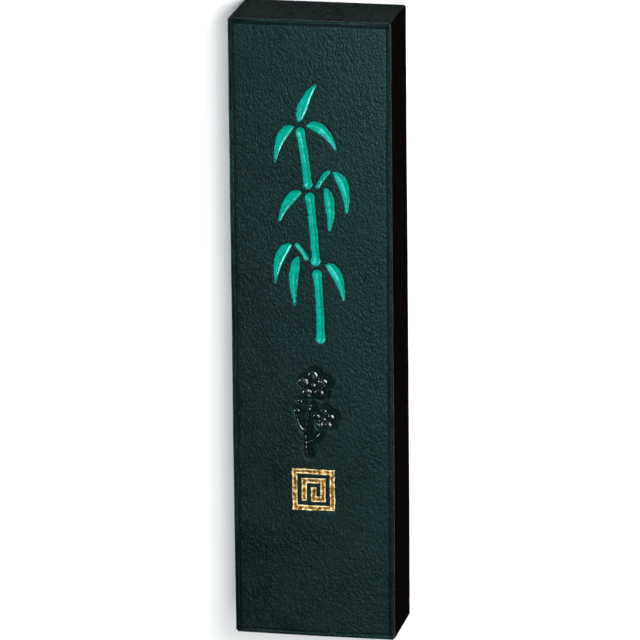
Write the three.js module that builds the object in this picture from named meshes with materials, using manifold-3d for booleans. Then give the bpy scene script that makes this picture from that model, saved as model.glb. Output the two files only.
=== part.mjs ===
// A moulded ink stick that lies on its back, with pigment laid into the grooves of its face.
// Millimetres. +X runs across the face, +Y towards the top of the design, +Z out of the face.
// The origin is under the middle of the stick, on the surface that it rests on.

import * as THREE from "three";
import { RoundedBoxGeometry } from "three/addons/geometries/RoundedBoxGeometry.js";
import { mergeVertices } from "three/addons/utils/BufferGeometryUtils.js";
import Module from "manifold-3d";

// The block of ink.
const LENGTH = 72;
const WIDTH = 18.6;
const THICKNESS = 9.6;
const EDGE_RADIUS = 0.35;
const EDGE_STEPS = 4;

// The line that the mould's plates leave around both broad faces.
const RIM = 0.46;
const LINE_WIDTH = 0.24;
const LINE_DEPTH = 0.12;

// The painted grooves, and the pigment that lies in them.
const GREEN_DEPTH = 0.5;
const GOLD_DEPTH = 0.32;
const PAINT_SINK = 0.12;
const CLEARANCE = 0.04;

// The bamboo sprig: how far its tip is from the top end, how tall it is, and how wide its strokes.
const SPRIG_FROM_TOP = 7.2;
const SPRIG_HEIGHT = 30;
const STEM_WIDTH = 0.84;
const NODE_SWELL = 0.26;
const TWIG_WIDTH = 0.5;
const LEAF_WIDTH = 1.1;
const LEAF_END_WIDTH = 0.22;

// The unpainted flowering twig, raised from the face below the sprig.
const TWIG_GAP = 3.2;
const TWIG_HEIGHT = 10.4;
const RELIEF = 0.2;
const RELIEF_ROOT = 0.3;
const BRANCH_WIDTH = 0.44;
const BRANCH_TIP_WIDTH = 0.24;
const BLOSSOM_RADIUS = 1.15;
const SMALL_BLOSSOM_RADIUS = 0.85;
const BUD_RADIUS = 0.4;
const SMALL_BUD_RADIUS = 0.3;
const PETALS = 5;
const PETAL_GAP = 0.1;

// The gold seal: a square frame around a square spiral.
const SEAL_GAP = 1.3;
const SEAL_SIZE = 4.8;
const SEAL_LINE = 0.5;
const SPIRAL_GAP = 0.57;
const SPIRAL_ARMS = 5;

const STROKE_STEPS = 16;
const CAP_STEPS = 5;
const DOT_SIDES = 20;

const FACE = THICKNESS;
const sprigFoot = LENGTH / 2 - SPRIG_FROM_TOP - SPRIG_HEIGHT;
const twigFoot = sprigFoot - TWIG_GAP - TWIG_HEIGHT;
const sealMiddle = twigFoot - SEAL_GAP - SEAL_SIZE / 2;

const INK = new THREE.MeshStandardMaterial({ color: 0x1c2e2e, roughness: 0.62, metalness: 0 });
const GREEN = new THREE.MeshStandardMaterial({ color: 0x0aa691, roughness: 0.35, metalness: 0 });
const GOLD = new THREE.MeshStandardMaterial({ color: 0xb9925a, roughness: 0.4, metalness: 0.8 });

const wasm = await Module();
wasm.setup();
const { Manifold, Mesh } = wasm;

function toSolid(geometry) {
  const bare = geometry.clone();
  bare.deleteAttribute("normal");
  bare.deleteAttribute("uv");
  const merged = mergeVertices(bare, 1e-4);
  return new Manifold(
    new Mesh({
      numProp: 3,
      vertProperties: new Float32Array(merged.attributes.position.array),
      triVerts: new Uint32Array(merged.index.array),
    }),
  );
}

function toGeometry(solid) {
  const { vertProperties, triVerts } = solid.getMesh();
  const geometry = new THREE.BufferGeometry();
  geometry.setAttribute("position", new THREE.BufferAttribute(vertProperties, 3));
  geometry.setIndex(new THREE.BufferAttribute(triVerts, 1));
  geometry.computeVertexNormals();
  return geometry;
}

function box(width, length, height, x, y, bottom) {
  const geometry = new THREE.BoxGeometry(width, length, height);
  return toSolid(geometry.translate(x, y, bottom + height / 2));
}

// A flat-bottomed solid of the given outline, between two heights.
function slab(shape, bottom, top) {
  const geometry = new THREE.ExtrudeGeometry(shape, { depth: top - bottom, bevelEnabled: false });
  return toSolid(geometry.translate(0, 0, bottom));
}

// A four-sided frustum: the outline of the block's face drawn in by one margin at the bottom
// and by another at the top.
function frustum(marginBelow, marginAbove, bottom, top) {
  const geometry = new THREE.BoxGeometry(1, 1, 1);
  const at = geometry.attributes.position;
  for (let i = 0; i < at.count; i++) {
    const above = at.getZ(i) > 0;
    const margin = above ? marginAbove : marginBelow;
    const x = Math.sign(at.getX(i)) * (WIDTH / 2 - margin);
    const y = Math.sign(at.getY(i)) * (LENGTH / 2 - margin);
    at.setXYZ(i, x, y, above ? top : bottom);
  }
  return toSolid(geometry);
}

// The V-shaped border line of the upper face. Its sloping sides run on as far above the face
// as the line is deep.
function borderLine() {
  const middle = RIM + LINE_WIDTH / 2;
  const cutter = frustum(middle, middle - LINE_WIDTH, FACE - LINE_DEPTH, FACE + LINE_DEPTH);
  const kept = frustum(middle, middle + LINE_WIDTH, FACE - LINE_DEPTH, FACE + LINE_DEPTH);
  return cutter.subtract(kept);
}

// Points given as shares of an ornament's height, from the middle of its foot.
function placed(points, foot, height) {
  return points.map(([x, y]) => new THREE.Vector2(x * height, foot + y * height));
}

// A brush stroke's outline: its middle line is a quadratic curve, and both ends are round.
function strokeOutline(path, width, inset) {
  const curve = new THREE.QuadraticBezierCurve(...path);
  const points = [];
  const side = (t, turn) => {
    const reach = new THREE.Vector2(width(t) / 2 - inset, 0);
    reach.rotateAround(new THREE.Vector2(), curve.getTangent(t).angle() + turn);
    points.push(curve.getPoint(t).add(reach));
  };
  for (let i = 0; i <= STROKE_STEPS; i++) side(i / STROKE_STEPS, -Math.PI / 2);
  for (let i = 1; i < CAP_STEPS; i++) side(1, -Math.PI / 2 + (Math.PI * i) / CAP_STEPS);
  for (let i = STROKE_STEPS; i >= 0; i--) side(i / STROKE_STEPS, Math.PI / 2);
  for (let i = 1; i < CAP_STEPS; i++) side(0, Math.PI / 2 + (Math.PI * i) / CAP_STEPS);
  return new THREE.Shape(points);
}

// How wide a stroke is at each share of its length.
const stemWidth = (t) => STEM_WIDTH + NODE_SWELL * (2 * t - 1) ** 8;
const twigWidth = () => TWIG_WIDTH;
const leafWidth = (t) => LEAF_END_WIDTH + (LEAF_WIDTH - LEAF_END_WIDTH) * Math.sin(Math.PI * t ** 0.75);
const branchWidth = (t) => BRANCH_WIDTH + (BRANCH_TIP_WIDTH - BRANCH_WIDTH) * t;

// The sprig's strokes: the start, bend and end of each, as shares of the sprig's height.
const SPRIG = [
  { name: "green_stem_1", width: stemWidth, path: [[0.033, 0.017], [0.035, 0.14], [0.022, 0.267]] },
  { name: "green_stem_2", width: stemWidth, path: [[0.017, 0.317], [0.012, 0.44], [-0.003, 0.563]] },
  { name: "green_stem_3", width: stemWidth, path: [[-0.01, 0.613], [-0.018, 0.72], [-0.037, 0.813]] },
  { name: "green_twig_1", width: twigWidth, path: [[-0.018, 0.327], [-0.032, 0.357], [-0.053, 0.377]] },
  { name: "green_twig_2", width: twigWidth, path: [[0.027, 0.607], [0.043, 0.64], [0.067, 0.663]] },
  { name: "green_leaf_1", width: leafWidth, path: [[-0.077, 0.377], [-0.13, 0.353], [-0.137, 0.23]] },
  { name: "green_leaf_2", width: leafWidth, path: [[-0.05, 0.33], [-0.077, 0.267], [-0.063, 0.147]] },
  { name: "green_leaf_3", width: leafWidth, path: [[0.057, 0.307], [0.107, 0.287], [0.123, 0.173]] },
  { name: "green_leaf_4", width: leafWidth, path: [[0.09, 0.66], [0.14, 0.63], [0.137, 0.51]] },
  { name: "green_leaf_5", width: leafWidth, path: [[0.057, 0.6], [0.083, 0.54], [0.07, 0.427]] },
  { name: "green_leaf_6", width: leafWidth, path: [[-0.037, 0.58], [-0.087, 0.573], [-0.12, 0.467]] },
  { name: "green_leaf_7", width: leafWidth, path: [[-0.063, 0.83], [-0.117, 0.82], [-0.133, 0.697]] },
  { name: "green_leaf_8", width: leafWidth, path: [[-0.01, 0.837], [0.05, 0.853], [0.097, 0.753]] },
  { name: "green_leaf_9", width: leafWidth, path: [[-0.04, 0.853], [-0.03, 0.933], [0.023, 0.993]] },
];

function sprigOutline({ path, width }, inset) {
  return strokeOutline(placed(path, sprigFoot, SPRIG_HEIGHT), width, inset);
}

function pocket(stroke) {
  return slab(sprigOutline(stroke, 0), FACE - GREEN_DEPTH, FACE + 1);
}

function strokeFill(stroke) {
  return slab(sprigOutline(stroke, CLEARANCE), FACE - GREEN_DEPTH + CLEARANCE, FACE - PAINT_SINK);
}

// The seal's frame, with its lines widened on both sides by the given amount.
function sealFrame(grow, bottom, top) {
  const outer = SEAL_SIZE + 2 * grow;
  const inner = SEAL_SIZE - 2 * SEAL_LINE - 2 * grow;
  const height = top - bottom;
  const plate = box(outer, outer, height, 0, sealMiddle, bottom);
  return plate.subtract(box(inner, inner, height, 0, sealMiddle, bottom));
}

// The spiral inside the frame: each arm is a bar, and every second arm is one turn shorter.
function sealSpiral(grow, bottom, top) {
  const pitch = SEAL_LINE + SPIRAL_GAP;
  const height = top - bottom;
  const size = SEAL_SIZE - 2 * pitch;
  const line = SEAL_LINE + 2 * grow;
  const heading = new THREE.Vector2(0, 1);
  const at = new THREE.Vector2(-(size - SEAL_LINE) / 2, -(size - SEAL_LINE) / 2);
  let reach = size - SEAL_LINE;
  let spiral = null;
  for (let arm = 0; arm < SPIRAL_ARMS; arm++) {
    if (arm > 1 && arm % 2 === 1) reach -= pitch;
    const end = at.clone().addScaledVector(heading, reach);
    const middle = at.clone().add(end).multiplyScalar(0.5);
    const width = Math.abs(end.x - at.x) + line;
    const length = Math.abs(end.y - at.y) + line;
    const bar = box(width, length, height, middle.x, sealMiddle + middle.y, bottom);
    spiral = spiral ? spiral.add(bar) : bar;
    at.copy(end);
    heading.set(heading.y, -heading.x);
  }
  return spiral;
}

// The flowering twig's parts, placed by shares of the twig's height.
const BLOSSOMS = [
  { radius: BLOSSOM_RADIUS, at: [0.014, 0.827] },
  { radius: SMALL_BLOSSOM_RADIUS, at: [0.13, 0.452] },
];
const BUDS = [
  { radius: BUD_RADIUS, at: [-0.168, 0.529] },
  { radius: SMALL_BUD_RADIUS, at: [-0.13, 0.644] },
];
const BRANCHES = [
  [[-0.058, 0.029], [-0.115, 0.308], [-0.01, 0.606]],
  [[-0.043, 0.183], [0.029, 0.202], [0.077, 0.288]],
  [[-0.091, 0.317], [-0.144, 0.346], [-0.163, 0.442]],
];

function disc(radius, middle) {
  const geometry = new THREE.CylinderGeometry(radius, radius, RELIEF + RELIEF_ROOT, DOT_SIDES);
  geometry.rotateX(Math.PI / 2);
  return toSolid(geometry.translate(middle.x, middle.y, FACE + (RELIEF - RELIEF_ROOT) / 2));
}

// A blossom of round petals that stand a little apart, with a dot in the middle.
function blossom(radius, middle) {
  const spread = radius * Math.sin(Math.PI / PETALS);
  const parts = [disc((radius - spread) * 0.8, middle)];
  for (let i = 0; i < PETALS; i++) {
    const petal = new THREE.Vector2(0, radius);
    petal.rotateAround(new THREE.Vector2(), (i * 2 * Math.PI) / PETALS);
    parts.push(disc(spread - PETAL_GAP / 2, petal.add(middle)));
  }
  return parts;
}

function floweringTwig() {
  const spot = (at) => placed([at], twigFoot, TWIG_HEIGHT)[0];
  const branch = (path) => {
    const outline = strokeOutline(placed(path, twigFoot, TWIG_HEIGHT), branchWidth, 0);
    return slab(outline, FACE - RELIEF_ROOT, FACE + RELIEF);
  };
  return [
    ...BLOSSOMS.flatMap(({ radius, at }) => blossom(radius, spot(at))),
    ...BUDS.map(({ radius, at }) => disc(radius, spot(at))),
    ...BRANCHES.map(branch),
  ];
}

function inkBlock() {
  const plain = new RoundedBoxGeometry(WIDTH, LENGTH, THICKNESS, EDGE_STEPS, EDGE_RADIUS);
  const line = borderLine();
  const cuts = [
    line,
    line.mirror([0, 0, 1]).translate([0, 0, THICKNESS]),
    ...SPRIG.map(pocket),
    sealFrame(CLEARANCE, FACE - GOLD_DEPTH, FACE + 1),
    sealSpiral(CLEARANCE, FACE - GOLD_DEPTH, FACE + 1),
  ];
  let block = toSolid(plain.translate(0, 0, THICKNESS / 2));
  for (const cut of cuts) block = block.subtract(cut);
  for (const raised of floweringTwig()) block = block.add(raised);
  return block;
}

function piece(name, solid, material) {
  const mesh = new THREE.Mesh(toGeometry(solid), material.clone());
  mesh.name = name;
  return mesh;
}

const goldBottom = FACE - GOLD_DEPTH + CLEARANCE;
const goldTop = FACE - PAINT_SINK;

const stick = new THREE.Group();
stick.add(piece("ink_block", inkBlock(), INK));
for (const stroke of SPRIG) stick.add(piece(stroke.name, strokeFill(stroke), GREEN));
stick.add(piece("gold_seal_frame", sealFrame(0, goldBottom, goldTop), GOLD));
stick.add(piece("gold_seal_spiral", sealSpiral(0, goldBottom, goldTop), GOLD));

export default stick;
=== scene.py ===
"""The look of a moulded ink stick that lies on its back: pressed soot ink, with green and gold
pigment brushed into the grooves of its face. Shapes are worked out in millimetres, in the row
frame, and turned into metres as each mesh is made."""

import math

import bpy
import numpy as np
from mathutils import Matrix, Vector


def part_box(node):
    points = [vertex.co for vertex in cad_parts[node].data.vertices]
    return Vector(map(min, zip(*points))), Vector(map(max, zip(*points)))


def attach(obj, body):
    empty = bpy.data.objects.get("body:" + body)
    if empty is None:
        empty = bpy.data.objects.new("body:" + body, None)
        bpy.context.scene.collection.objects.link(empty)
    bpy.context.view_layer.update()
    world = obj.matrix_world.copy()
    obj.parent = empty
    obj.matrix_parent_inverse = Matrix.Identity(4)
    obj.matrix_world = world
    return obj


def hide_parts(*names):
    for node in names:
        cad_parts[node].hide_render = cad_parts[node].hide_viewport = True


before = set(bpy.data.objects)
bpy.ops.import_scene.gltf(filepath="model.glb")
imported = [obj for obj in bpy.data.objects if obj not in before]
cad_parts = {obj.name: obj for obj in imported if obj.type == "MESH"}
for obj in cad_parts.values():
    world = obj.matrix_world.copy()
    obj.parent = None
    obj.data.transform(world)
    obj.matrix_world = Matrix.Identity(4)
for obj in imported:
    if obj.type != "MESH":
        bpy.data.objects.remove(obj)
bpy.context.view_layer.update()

MM = 0.001

# ---------------------------------------------------------------- sizes, in millimetres
# SHOULDER is where a face's even grid starts, KEEP_OFF the margin of the fine grid round the
# grooves and the seam's stop short of a corner, and NEAR_GROOVE the reach within which the
# distance to a groove is worked out.
# The seam is pressed less deep across the lower end, by LOWER_SEAM.
block_low, block_high = (np.array(corner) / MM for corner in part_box("ink_block"))
RELIEF = 0.2
WIDTH, LENGTH = (block_high - block_low)[:2]
FACE = block_high[2] - RELIEF

EDGE_RADIUS = 0.3
SEAM_FROM_EDGE = 0.56
SEAM_HALF_WIDTH = 0.075
SEAM_DEPTH = 0.34
LOWER_SEAM = 0.3
CORNER_WEAR = 0.27
MOAT_DEPTH = 0.17
MOAT_WIDTH = 0.55
MOAT_AND_SHADOW_SHIFT = (0.2, 0.08)
GROOVE_DEPTH = 0.4
CROWN = 0.28
COARSE_STEP = 0.46
FINE_SPLIT = 4
PLAIN_SPLIT = 2
FAR = 9.0
SHOULDER = 0.8
KEEP_OFF = 0.4
NEAR_GROOVE = 0.5
RIM_WIDTH = 0.17

GREEN_NODES = [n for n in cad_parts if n.startswith("green_")]
GOLD_NODES = [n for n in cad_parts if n.startswith("gold_")]


# ---------------------------------------------------------------- smooth noise on arrays
class Noise:
    """Smooth random values between -1 and 1 at points of a plane or of space."""

    SIDE = 64

    def __init__(self, seed, wavelength):
        self.wavelength = wavelength
        self.table = np.random.default_rng(seed).uniform(-1, 1, (self.SIDE,) * 3)

    def __call__(self, x, y, z=0.0):
        where = [np.asarray(a, float) / self.wavelength for a in np.broadcast_arrays(x, y, z)]
        cell = [np.floor(a).astype(int) for a in where]
        share = [a - c for a, c in zip(where, cell)]
        share = [s * s * (3 - 2 * s) for s in share]
        total = 0.0
        for corner in np.ndindex(2, 2, 2):
            weight = 1.0
            for s, c in zip(share, corner):
                weight = weight * (s if c else 1 - s)
            at = tuple((c + k) % self.SIDE for c, k in zip(cell, corner))
            total = total + weight * self.table[at]
        return total


def smoothstep(low, high, value):
    t = np.clip((value - low) / (high - low), 0, 1)
    return t * t * (3 - 2 * t)


# ---------------------------------------------------------------- outlines taken from the CAD nodes
def outline_at(node, height):
    """The border of a node's flat faces at a height, as an array of segments in the plane."""
    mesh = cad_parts[node].data
    spots = np.round(np.array([v.co for v in mesh.vertices]) / MM, 4)
    used = {}
    for face in mesh.polygons:
        corners = [tuple(spots[i]) for i in face.vertices]
        if any(abs(c[2] - height) > 1e-3 for c in corners):
            continue
        for a, b in zip(corners, corners[1:] + corners[:1]):
            key = (min(a, b), max(a, b))
            used[key] = used.get(key, 0) + 1
    border = [(a[:2], b[:2]) for (a, b), times in used.items() if times == 1]
    return np.array(border)


def signed_distance(segments, x, y):
    """How far each point is outside the outline, and less than zero inside it."""
    shape = x.shape
    x, y = x.ravel(), y.ravel()
    nearest = np.full(x.size, np.inf)
    inside = np.zeros(x.size, bool)
    for (ax, ay), (bx, by) in segments:
        dx, dy = bx - ax, by - ay
        t = np.clip(((x - ax) * dx + (y - ay) * dy) / (dx * dx + dy * dy), 0, 1)
        nearest = np.minimum(nearest, np.hypot(x - ax - t * dx, y - ay - t * dy))
        if dy != 0:
            crosses = (ay > y) != (by > y)
            inside ^= crosses & (x < ax + (y - ay) * dx / dy)
    return np.where(inside, -nearest, nearest).reshape(shape)


# ---------------------------------------------------------------- meshes
def make_mesh(name, spots, faces, material, **marks):
    """A mesh object from points in millimetres, riding on the block. Each mark is a value for
    every point, which the materials read."""
    mesh = bpy.data.meshes.new(name)
    mesh.from_pydata((np.asarray(spots) * MM).tolist(), [], faces)
    mesh.validate()
    mesh.polygons.foreach_set("use_smooth", [True] * len(mesh.polygons))
    mesh.materials.append(material)
    for mark, values in marks.items():
        mesh.attributes.new(mark, "FLOAT", "POINT").data.foreach_set("value", values)
    piece = bpy.data.objects.new(name, mesh)
    bpy.context.scene.collection.objects.link(piece)
    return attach(piece, "root")


def snapped_grid(x_lines, y_lines, distance, reach):
    """Grid points, of which those within reach of the zero line of distance are moved onto it."""
    x, y = np.meshgrid(x_lines, y_lines, indexing="ij")
    d = distance(x, y)
    step = 1e-3
    gx = (distance(x + step, y) - d) / step
    gy = (distance(x, y + step) - d) / step
    size = np.maximum(np.hypot(gx, gy), 0.2)
    near = np.abs(d) / size < reach
    x = np.where(near, x - d * gx / size**2, x)
    y = np.where(near, y - d * gy / size**2, y)
    return x, y, np.where(near, 0.0, d)


def plate(name, segments, step, grow, wobble, top, bottom, material):
    """A closed solid whose outline is the segments', grown and made uneven, with a shaped top."""
    low, high = segments.reshape(-1, 2).min(0), segments.reshape(-1, 2).max(0)
    margin = grow + 4 * step
    x_lines = np.arange(low[0] - margin, high[0] + margin, step)
    y_lines = np.arange(low[1] - margin, high[1] + margin, step)

    def distance(x, y):
        return signed_distance(segments, x, y) - grow + wobble(x, y)

    x, y, d = snapped_grid(x_lines, y_lines, distance, step / 2)
    index = np.arange(x.size).reshape(x.shape)
    corners = np.stack([index[:-1, :-1], index[1:, :-1], index[1:, 1:], index[:-1, 1:]], -1)
    corners = corners.reshape(-1, 4)
    inside = d.ravel()[corners] <= 0
    flat = [tuple(c) for c in corners[inside.all(1)].tolist()]
    for c, held in zip(corners[inside.sum(1) == 3], inside[inside.sum(1) == 3]):
        flat.append(tuple(c[held].tolist()))

    used = sorted({i for face in flat for i in face})
    number = {old: new for new, old in enumerate(used)}
    flat = [tuple(number[i] for i in face) for face in flat]
    x, y, depth = x.ravel()[used], y.ravel()[used], -d.ravel()[used]
    count = len(used)
    spots = np.concatenate([
        np.stack([x, y, top(x, y, depth)], 1),
        np.stack([x, y, np.full(count, bottom)], 1),
    ])
    edges = {(a, b) for face in flat for a, b in zip(face, face[1:] + face[:1])}
    walls = [(b, a, a + count, b + count) for a, b in edges if (b, a) not in edges]
    floor = [tuple(i + count for i in reversed(face)) for face in flat]
    rim = np.concatenate([np.exp(-((depth / RIM_WIDTH) ** 2)), np.ones(count)])
    return make_mesh(name, spots, flat + walls + floor, material, rim=rim)


# ---------------------------------------------------------------- the block of ink
SLOW_WAVES, SHORT_WAVES = Noise(21, 11), Noise(22, 3.2)


def swell(x, y, z):
    """How far the dried surface stands out from the mould's, which is never more than nothing."""
    return 0.05 * SLOW_WAVES(x, y, z) + 0.018 * SHORT_WAVES(x, y, z) - 0.06


def fall(x):
    """How far the slightly crowned broad faces fall away from their middle."""
    return CROWN * (x / (WIDTH / 2)) ** 2


def face_height(x, y):
    """The height of the decorated face at rest, apart from its grain."""
    return FACE + swell(x, y, np.full(np.shape(x), FACE / 2)) - fall(x)


def edge_lines(extent, fine_reach):
    """Grid lines across one side of the block, and into how many cells each gap is split.
    The lines crowd at the rounded edges and at the seam."""
    r = EDGE_RADIUS
    seam = SEAM_FROM_EDGE + SEAM_HALF_WIDTH * np.array([-1.6, -0.8, 0, 0.8, 1.6])
    near = np.concatenate([[0, r / 3, 2 * r / 3, r], seam, [SHOULDER]])
    gaps = round((extent - 2 * near[-1]) / COARSE_STEP)
    middle = np.linspace(near[-1], extent - near[-1], gaps + 1)[1:-1]
    lines = np.concatenate([near, middle, extent - near[::-1]]) - extent / 2
    centres = (lines[1:] + lines[:-1]) / 2
    low, high = fine_reach
    split = np.where((centres > low) & (centres < high), FINE_SPLIT, PLAIN_SPLIT)
    split[: len(near) - 1] = 1
    split[-(len(near) - 1) :] = 1
    return lines, split


def side_lines(extent):
    """Grid lines from the bottom of the block to its face."""
    r = EDGE_RADIUS
    near = np.array([0, r / 3, 2 * r / 3, r, 2 * r])
    gaps = round((extent - 2 * near[-1]) / COARSE_STEP)
    middle = np.linspace(near[-1], extent - near[-1], gaps + 1)[1:-1]
    return np.concatenate([near, middle, extent - near[::-1]]) - extent / 2


def split_lines(lines, split):
    parts = [np.linspace(a, b, n, endpoint=False) for a, b, n in zip(lines, lines[1:], split)]
    return np.concatenate([*parts, lines[-1:]])


def border_ring(x_lines, y_lines):
    """The points round the border of a grid, anticlockwise from its lowest corner."""
    ring = [(x, y_lines[0]) for x in x_lines[:-1]]
    ring += [(x_lines[-1], y) for y in y_lines[:-1]]
    ring += [(x, y_lines[-1]) for x in x_lines[:0:-1]]
    ring += [(x_lines[0], y) for y in y_lines[:0:-1]]
    return np.array(ring)


def ring_index(nx, ny, start):
    """The numbers of a grid's border points, in border_ring's order."""
    grid = np.arange(nx * ny).reshape(nx, ny) + start
    return np.concatenate([grid[:-1, 0], grid[-1, :-1], grid[:0:-1, -1], grid[0, :0:-1]])


def grid_faces(nx, ny, start, up):
    index = np.arange(nx * ny).reshape(nx, ny) + start
    corners = [index[:-1, :-1], index[1:, :-1], index[1:, 1:], index[:-1, 1:]]
    if not up:
        corners.reverse()
    return np.stack(corners, -1).reshape(-1, 4).tolist()


def block_surface(groove_distance, fine_x, fine_y):
    """Points, faces and outward directions of the closed, rounded, still smooth block."""
    xs, x_split = edge_lines(WIDTH, fine_x)
    ys, y_split = edge_lines(LENGTH, fine_y)
    zs = side_lines(FACE)
    fine_xs, fine_ys = split_lines(xs, x_split), split_lines(ys, y_split)
    half = np.array([WIDTH, LENGTH, FACE]) / 2

    spots, faces = [], []
    x, y, _ = snapped_grid(fine_xs, fine_ys, groove_distance, COARSE_STEP / FINE_SPLIT / 2)
    spots.append(np.stack([x.ravel(), y.ravel(), np.full(x.size, half[2])], 1))
    faces += grid_faces(len(fine_xs), len(fine_ys), 0, True)
    above = ring_index(len(fine_xs), len(fine_ys), 0)
    total = x.size

    fine_ring, ring = border_ring(fine_xs, fine_ys), border_ring(xs, ys)
    ring_split = np.concatenate([x_split, y_split, x_split[::-1], y_split[::-1]])
    change = len(zs) - 6
    for level in range(len(zs) - 2, 0, -1):
        fine = level > change
        border = fine_ring if fine else ring
        below = np.arange(len(border)) + total
        total += len(border)
        spots.append(np.column_stack([border, np.full(len(border), zs[level])]))
        if level == change:
            faces += fan_faces(above, below, ring_split)
        else:
            faces += band_faces(above, below)
        above = below
    x, y = np.meshgrid(xs, ys, indexing="ij")
    spots.append(np.stack([x.ravel(), y.ravel(), np.full(x.size, -half[2])], 1))
    faces += grid_faces(len(xs), len(ys), total, False)
    faces += band_faces(above, ring_index(len(xs), len(ys), total))

    spots = np.concatenate(spots)
    core = np.clip(spots, -(half - EDGE_RADIUS), half - EDGE_RADIUS)
    out = spots - core
    out /= np.linalg.norm(out, axis=1, keepdims=True)
    return core + EDGE_RADIUS * out, faces, out


def band_faces(above, below):
    """Quads between two rings of as many points each, the first one higher."""
    return np.stack([above, below, np.roll(below, -1), np.roll(above, -1)], 1).tolist()


def fan_faces(above, below, split):
    """Triangles from a fine ring down to a coarse one, whose gaps each hold split fine gaps."""
    faces, at = [], 0
    for j, pieces in enumerate(split):
        left, right = int(below[j]), int(below[(j + 1) % len(below)])
        fine = [int(above[(at + i) % len(above)]) for i in range(pieces + 1)]
        middle = pieces // 2
        for i in range(pieces):
            faces.append((fine[i], left if i < middle else right, fine[i + 1]))
        faces.append((fine[middle], left, right))
        at += pieces
    return faces


def ink_block(materials, grooves, relief):
    """The block: a rounded box with a wavering seam, uneven faces, worn edges and grooves, and a
    shade mark that paints shade into its recesses.
    """
    spread = np.concatenate(grooves).reshape(-1, 2)
    low, high = spread.min(0) - KEEP_OFF, spread.max(0) + KEEP_OFF
    near_groove = groove_finder(grooves)
    spots, faces, out = block_surface(near_groove, (low[0], high[0]), (low[1], high[1]))

    x, y, z = spots.T
    front = smoothstep(0.6, 0.98, out[:, 2])
    back = smoothstep(0.6, 0.98, -out[:, 2])

    # The seam wavers: near the edges, points of the broad faces slide along the face.
    from_side, from_end = WIDTH / 2 - np.abs(x), LENGTH / 2 - np.abs(y)
    slide = lambda e: np.clip(1 - ((e - SEAM_FROM_EDGE) / 0.5) ** 2, 0, 1) ** 2
    waver, drift = Noise(11, 2.6), Noise(12, 17)
    x_move = 0.035 * waver(y, np.sign(x)) + 0.11 * drift(y, 7 * np.sign(x))
    y_move = 0.03 * waver(x, 5 * np.sign(y)) + 0.09 * drift(x, 9 * np.sign(y))
    flat = np.maximum(front, back)
    spots[:, 0] += x_move * slide(from_side) * flat * np.sign(x)
    spots[:, 1] += y_move * slide(from_end) * flat * np.sign(y)

    line = lambda e: np.exp(-(((e - SEAM_FROM_EDGE) / SEAM_HALF_WIDTH) ** 2))
    strength = 0.62 + 0.38 * Noise(13, 3.1)(x, y, z)
    across = line(from_end) * (from_side > KEEP_OFF) * np.where(y < 0, LOWER_SEAM, 1)
    seam = np.maximum(line(from_side) * (from_end > KEEP_OFF), across)
    push = -SEAM_DEPTH * seam * strength * flat
    push -= flat * fall(x)

    # Slow waves over every face, and small dents where the edges have been knocked.
    push += swell(x, y, z)
    worn = np.clip(1.0 - np.abs(out).max(1), 0, 0.29) / 0.29
    push -= worn * (0.03 + 0.1 * smoothstep(0.25, 0.9, Noise(23, 1.7)(x, y, z)))
    push -= worn * 0.03 * Noise(24, 0.7)(x, y, z)
    push -= CORNER_WEAR * smoothstep(0.2, 0.7, 2 * np.abs(out[:, 0] * out[:, 1])) * (y < 0)
    spots += out * push[:, None]

    sunk = smoothstep(0.03, -0.09, near_groove(x, y)) * (out[:, 2] > 0.99)
    spots[:, 2] -= GROOVE_DEPTH * sunk
    spots[:, 2] += FACE / 2
    # Painted shade: the colour is darkened and made rougher in the seam and in a thin band round
    # each groove, where shade falls in the recesses.
    hollow = np.maximum(seam * strength * flat, smoothstep(0.1, -0.02, near_groove(x, y)) * front)
    # A dip in the face beside the raised twig, shifted to its upper right. Through the shade mark
    # it is also a painted shadow cast by the twig.
    moat_and_shadow = groove_finder([relief])(x - MOAT_AND_SHADOW_SHIFT[0], y - MOAT_AND_SHADOW_SHIFT[1])
    moat_and_shadow = smoothstep(MOAT_WIDTH, 0, moat_and_shadow) * (out[:, 2] > 0.99)
    spots[:, 2] -= MOAT_DEPTH * moat_and_shadow
    hollow = np.maximum(hollow, moat_and_shadow)
    body = make_mesh("ink_body", spots, faces, materials[0], hollow=hollow)
    for other in materials[1:]:
        body.data.materials.append(other)
    # Each face takes a colouring by its direction: painted shade on the long sides, painted light
    # on the ends.
    for face in body.data.polygons:
        steep = np.abs(out[face.vertices[0]])
        face.material_index = 0 if steep[2] > 0.3 else 1 if steep[0] > steep[1] else 2
    return body


def groove_finder(grooves):
    """A function that gives the distance to the nearest groove, worked out only close to it."""

    def distance(x, y):
        result = np.full(x.shape, FAR)
        for groove in grooves:
            corners = groove.reshape(-1, 2)
            low, high = corners.min(0) - NEAR_GROOVE, corners.max(0) + NEAR_GROOVE
            near = (x > low[0]) & (x < high[0]) & (y > low[1]) & (y < high[1])
            if near.any():
                found = signed_distance(groove, x[near], y[near])
                result[near] = np.minimum(result[near], found)
        return result

    return distance


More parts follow.
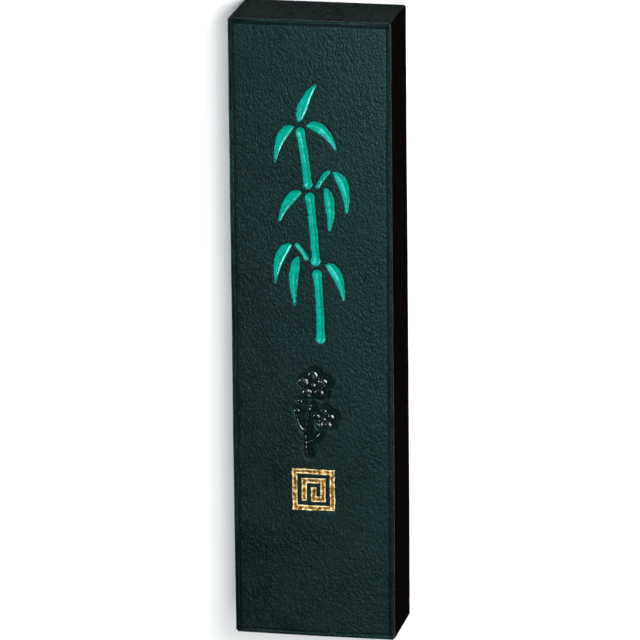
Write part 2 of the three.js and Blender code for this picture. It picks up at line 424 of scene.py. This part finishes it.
# ---------------------------------------------------------------- materials
class Nodes:
    """A new material's node tree, with short ways to add to it."""

    def __init__(self, name):
        self.material = bpy.data.materials.new(name)
        self.material.use_nodes = True
        self.tree = self.material.node_tree
        self.shader = self.tree.nodes["Principled BSDF"]
        self.place = self.add("ShaderNodeTexCoord").outputs["Object"]

    def add(self, kind, **values):
        node = self.tree.nodes.new(kind)
        for key, value in values.items():
            setattr(node, key, value)
        return node

    def link(self, source, target):
        self.tree.links.new(source, target)

    def mapped(self, turn, stretch):
        """Places turned about Z by some degrees, then scaled along each axis."""
        node = self.add("ShaderNodeMapping")
        node.inputs["Rotation"].default_value[2] = math.radians(turn)
        node.inputs["Scale"].default_value = stretch
        self.link(self.place, node.inputs["Vector"])
        return node.outputs["Vector"]

    def noise(self, wavelength, detail=2.0, rough=0.5, place=None):
        """A cloudy pattern whose lumps are a wavelength in millimetres apart."""
        node = self.add("ShaderNodeTexNoise")
        node.inputs["Scale"].default_value = 1 / (wavelength * MM)
        node.inputs["Detail"].default_value = detail
        node.inputs["Roughness"].default_value = rough
        self.link(place or self.place, node.inputs["Vector"])
        return node.outputs["Fac"]

    def cells(self, wavelength, smooth, place=None):
        node = self.add("ShaderNodeTexVoronoi", feature="SMOOTH_F1")
        node.inputs["Scale"].default_value = 1 / (wavelength * MM)
        node.inputs["Smoothness"].default_value = smooth
        self.link(place or self.place, node.inputs["Vector"])
        return node.outputs["Distance"]

    def mark(self, name):
        """The value of one of the mesh's marks."""
        return self.add("ShaderNodeAttribute", attribute_name=name).outputs["Fac"]

    def blend(self, share, colour, other):
        """A colour that turns into another, given one, as the share goes from 0 to 1."""
        node = self.add("ShaderNodeMix", data_type="RGBA")
        self.link(share, node.inputs["Factor"])
        self.link(colour, node.inputs["A"])
        node.inputs["B"].default_value = (*other, 1)
        return node.outputs["Result"]

    def ramp(self, value, low, high, out_low=0.0, out_high=1.0):
        node = self.add("ShaderNodeMapRange")
        for key, number in (
            ("From Min", low), ("From Max", high), ("To Min", out_low), ("To Max", out_high)
        ):
            node.inputs[key].default_value = number
        self.link(value, node.inputs["Value"])
        return node.outputs["Result"]

    def math(self, operation, a, b):
        node = self.add("ShaderNodeMath", operation=operation)
        for socket, value in zip(node.inputs, (a, b)):
            if isinstance(value, (int, float)):
                socket.default_value = value
            else:
                self.link(value, socket)
        return node.outputs[0]

    def colours(self, share, *stops):
        """A colour that runs through the stops, each a share and a linear colour."""
        node = self.add("ShaderNodeValToRGB")
        ends = node.color_ramp.elements
        while len(ends) < len(stops):
            ends.new(0.5)
        for end, (at, colour) in zip(ends, stops):
            end.position = at
            end.color = (*colour, 1)
        self.link(share, node.inputs["Fac"])
        return node.outputs["Color"]

    def bump(self, height, depth, under=None):
        node = self.add("ShaderNodeBump")
        node.inputs["Strength"].default_value = 1.0
        node.inputs["Distance"].default_value = depth * MM
        self.link(height, node.inputs["Height"])
        if under is not None:
            self.link(under, node.inputs["Normal"])
        return node.outputs["Normal"]

    def finish(self, **sockets):
        for name, value in sockets.items():
            socket = self.shader.inputs[name.replace("_", " ")]
            if isinstance(value, (int, float)):
                socket.default_value = value
            elif isinstance(value, tuple):
                socket.default_value = (*value, 1)
            else:
                self.link(value, socket)
        return self.material


def ink_material(name, grain, rough, shine, low, high, turn=35, stretch=(1.3, 0.82, 1), tint=0.35,
                 glints=0.2):
    """Pressed ink: soot black with a slight blue-green sheen, and a grain of small slanting lumps
    on an unevenly polished face. Bright specks painted into the colour stand in for glints on the
    grain, and the shade mark paints shade where it darkens the colour."""
    n = Nodes(name)
    slanted = n.mapped(turn, stretch)
    lumps = n.cells(0.32, 0.25, slanted)
    grit = n.cells(0.16, 0.4, slanted)
    fine = n.noise(0.11, 3, 0.65, slanted)
    clumps = n.noise(0.6, 2, 0.5, slanted)
    # Painted glints: bright specks lightened into the colour on the tops of the grain's lumps,
    # standing in for light the grain catches. glints sets their strength.
    painted_glints = n.math("MULTIPLY", n.ramp(lumps, 0.1, 0.22, glints, 0), n.ramp(clumps, 0.45, 0.62))
    patches = n.noise(4.5, 4, 0.6)
    height = n.math("ADD", n.math("MULTIPLY", grit, 0.5), n.math("MULTIPLY", fine, 0.7))
    height = n.math("ADD", n.math("SUBTRACT", height, lumps), n.math("MULTIPLY", clumps, 1.2))
    shades = n.math("ADD", n.math("MULTIPLY", patches, 0.5), n.math("MULTIPLY", clumps, 0.5))
    # Painted shade: the shade mark darkens the colour towards black and adds roughness.
    hollow = n.mark("hollow")
    colour = n.blend(painted_glints, n.colours(shades, (0.3, low), (0.7, high)), (0.07, 0.1, 0.1))
    sheen = n.ramp(patches, 0.3, 0.7, rough - 0.05, rough + 0.05)
    sheen = n.math("ADD", sheen, n.ramp(fine, 0, 1, -0.1, 0.1))
    return n.finish(
        Base_Color=n.blend(n.math("MULTIPLY", hollow, 0.8), colour, (0.0003, 0.0004, 0.0005)),
        Roughness=n.math("ADD", sheen, n.math("MULTIPLY", hollow, 0.35)),
        Specular_IOR_Level=shine,
        Specular_Tint=(tint, 1.0, 0.98),
        Normal=n.bump(height, grain),
    )


def green_material():
    """Blue-green mineral pigment in glue: brush-thick in places, darker where it is thin."""
    n = Nodes("green_pigment")
    streaks = n.noise(0.5, 3, 0.55)
    fine = n.noise(0.12, 2, 0.6)
    colour = n.colours(
        streaks,
        (0.3, (0.0, 0.15, 0.1)),
        (0.5, (0.0, 0.205, 0.145)),
        (0.72, (0.0, 0.255, 0.2)),
    )
    height = n.math("ADD", streaks, n.math("MULTIPLY", fine, 0.3))
    return n.finish(
        Base_Color=colour,
        Roughness=n.ramp(fine, 0.2, 0.8, 0.2, 0.3),
        Specular_IOR_Level=0.32,
        Specular_Tint=(0.2, 0.85, 1.0),
        Normal=n.bump(height, 0.03),
    )


def gold_material():
    """Gold powder paint: bright grains heaped at the rims, brown in random patches, and browner in
    the middle of each channel, which is painted shade.
    """
    n = Nodes("gold_pigment")
    patches = n.noise(0.45, 3, 0.6)
    fine = n.noise(0.09, 2, 0.6)
    share = n.math("ADD", n.ramp(patches, 0.3, 0.7, 0, 0.5), n.math("MULTIPLY", fine, 0.2))
    # The rim mark lifts the colour at each channel's edges and leaves its middle browner: partly
    # paint heaped at the rims, partly painted shade in the channel's depth.
    share = n.math("ADD", share, n.math("MULTIPLY", n.mark("rim"), 0.3))
    colour = n.colours(
        share,
        (0.28, (0.07, 0.024, 0.003)),
        (0.46, (0.36, 0.17, 0.025)),
        (0.6, (1.0, 0.82, 0.4)),
    )
    return n.finish(
        Base_Color=colour,
        Metallic=0.7,
        Roughness=n.ramp(fine, 0.2, 0.8, 0.26, 0.44),
        Normal=n.bump(n.math("ADD", patches, fine), 0.14),
    )


# ---------------------------------------------------------------- pigment and relief
def inlay_outline(node):
    return outline_at(node, float(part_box(node)[1].z) / MM)


def green_fill(node, material):
    """Pigment in one green groove: it climbs the walls and lies low in the middle."""
    waves, ripples = Noise(31, 0.9), Noise(32, 0.35)

    def top(x, y, inward):
        drop = 0.02 + 0.27 * (1 - np.exp(-((inward / 0.27) ** 1.4)))
        return face_height(x, y) - drop + 0.02 * waves(x, y) + 0.008 * ripples(x, y)

    wobble = lambda x, y: 0.02 * waves(x + 40, y) + 0.012 * ripples(x, y + 40)
    outline = inlay_outline(node)
    piece = plate("paint_" + node, outline, 0.055, 0.06, wobble, top, FACE - 0.5, material)
    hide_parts(node)
    return piece


def gold_fill(node, material):
    """Gold paint in one of the seal's channels, thick and raised along the channel's edges."""
    waves, ripples = Noise(41, 0.6), Noise(42, 0.22)

    def top(x, y, inward):
        rim = np.exp(-(((inward - 0.07) / 0.07) ** 2))
        lift = 0.1 * rim * (0.7 + 0.5 * ripples(x, y)) + 0.03 * waves(x, y)
        return face_height(x, y) - 0.07 + lift

    wobble = lambda x, y: 0.045 * waves(x + 40, y) + 0.04 * ripples(x, y + 40)
    outline = inlay_outline(node)
    piece = plate("paint_" + node, outline, 0.045, 0.05, wobble, top, FACE - 0.45, material)
    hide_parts(node)
    return piece


def raised_twig(outline, material):
    """The unpainted flowering twig that stands out of the face, with rounded tops."""
    ripples = Noise(51, 0.3)

    def top(x, y, inward):
        side = 1 - np.clip(inward / 0.3, 0, 1)
        rise = (RELIEF + 0.08 + 0.03 * ripples(x, y)) * np.sqrt(1 - side**2)
        return face_height(x, y) - 0.06 + rise

    wobble = lambda x, y: 0.02 * ripples(x + 20, y)
    piece = plate("raised_twig", outline, 0.05, 0.03, wobble, top, FACE - 0.4, material)
    return piece


# ---------------------------------------------------------------- stage, light and camera
def floor():
    n = Nodes("pale_floor")
    mottled = n.noise(60, 3, 0.5)
    colour = n.colours(mottled, (0.3, (0.80, 0.80, 0.80)), (0.7, (0.84, 0.84, 0.84)))
    n.finish(Base_Color=colour, Roughness=0.9, Specular_IOR_Level=0.2)
    bpy.ops.mesh.primitive_plane_add(size=3, location=(0, 0, 0))
    plane = bpy.context.object
    plane.name = "floor"
    plane.data.materials.append(n.material)


def soft_light(name, towards, distance, size, power, colour=(1, 1, 1)):
    """A square lamp that faces the block from a direction, at a distance in metres."""
    lamp = bpy.data.lights.new(name, "AREA")
    lamp.size = size
    lamp.energy = power
    lamp.color = colour
    light = bpy.data.objects.new(name, lamp)
    bpy.context.scene.collection.objects.link(light)
    back = Vector(towards).normalized()
    light.location = back * distance
    light.rotation_euler = back.to_track_quat("Z", "Y").to_euler()


def camera():
    """A long lens, well above the face and a little to the right of it and beyond its top end."""
    data = bpy.data.cameras.new("camera")
    data.lens = 388.5
    data.sensor_width = 36
    data.clip_start, data.clip_end = 0.01, 20
    cam = bpy.data.objects.new("camera", data)
    cam.location = (0.14999, 0.21578, 0.7382)
    cam.rotation_euler = [math.radians(a) for a in (-16.183, 11.4, -0.565)]
    bpy.context.scene.collection.objects.link(cam)
    bpy.context.scene.camera = cam


soot, worn_soot = (0.0008, 0.0016, 0.0017), (0.003, 0.0056, 0.0058)
# The broad faces keep the plain soot. The long sides get a darker, redder copy of it with almost no
# shine: painted shade for faces that turn away from the light.
shaded_side_soot, worn_shaded_side_soot = (0.0006, 0.0002, 0.0002), (0.0034, 0.0016, 0.0015)
# The ends get a lighter copy of the soot with almost no shine, streaked along the thickness:
# painted light standing for the light on the end faces.
lit_end_soot, worn_lit_end_soot = (0.0002, 0.0012, 0.0011), (0.0125, 0.022, 0.0205)
ink_face = ink_material("pressed_ink", 0.042, 0.4, 0.19, soot, worn_soot, glints=0.4)
shaded_ink_side = ink_material("shaded_side_ink", 0.08, 0.8, 0.0004, shaded_side_soot, worn_shaded_side_soot, 0, (1, 0.2, 1), glints=0.02)
lit_ink_end = ink_material("lit_end_ink", 0.19, 0.65, 0.003, lit_end_soot, worn_lit_end_soot, 0, (1, 1, 0.3))
ink_relief = ink_material("moulded_ink", 0.006, 0.2, 0.8, soot, worn_soot, tint=0.8)
green = green_material()
gold = gold_material()

grooves = [inlay_outline(node) for node in GREEN_NODES + GOLD_NODES]
relief = outline_at("ink_block", block_high[2])
body = ink_block([ink_face, shaded_ink_side, lit_ink_end], grooves, relief)
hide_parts("ink_block")
for node in GREEN_NODES:
    green_fill(node, green)
for node in GOLD_NODES:
    gold_fill(node, gold)
raised_twig(relief, ink_relief)

floor()
soft_light("glow", (0.42, 0.32, 0.86), 0.17, 0.08, 0.38)
soft_light("left", (-0.93, 0.12, 0.24), 0.6, 0.12, 2.9, (0.85, 0.95, 1))
soft_light("end", (-0.45, 0.85, 0.25), 0.9, 0.6, 1.5)
soft_light("over", (0.2, 0, 1), 0.9, 0.3, 5)
camera()

world = bpy.data.worlds.new("world")
world.use_nodes = True
world.node_tree.nodes["Background"].inputs["Color"].default_value = (1, 1, 1, 1)
world.node_tree.nodes["Background"].inputs["Strength"].default_value = 0.02
bpy.context.scene.world = world
bpy.context.scene.view_settings.view_transform = "Standard"
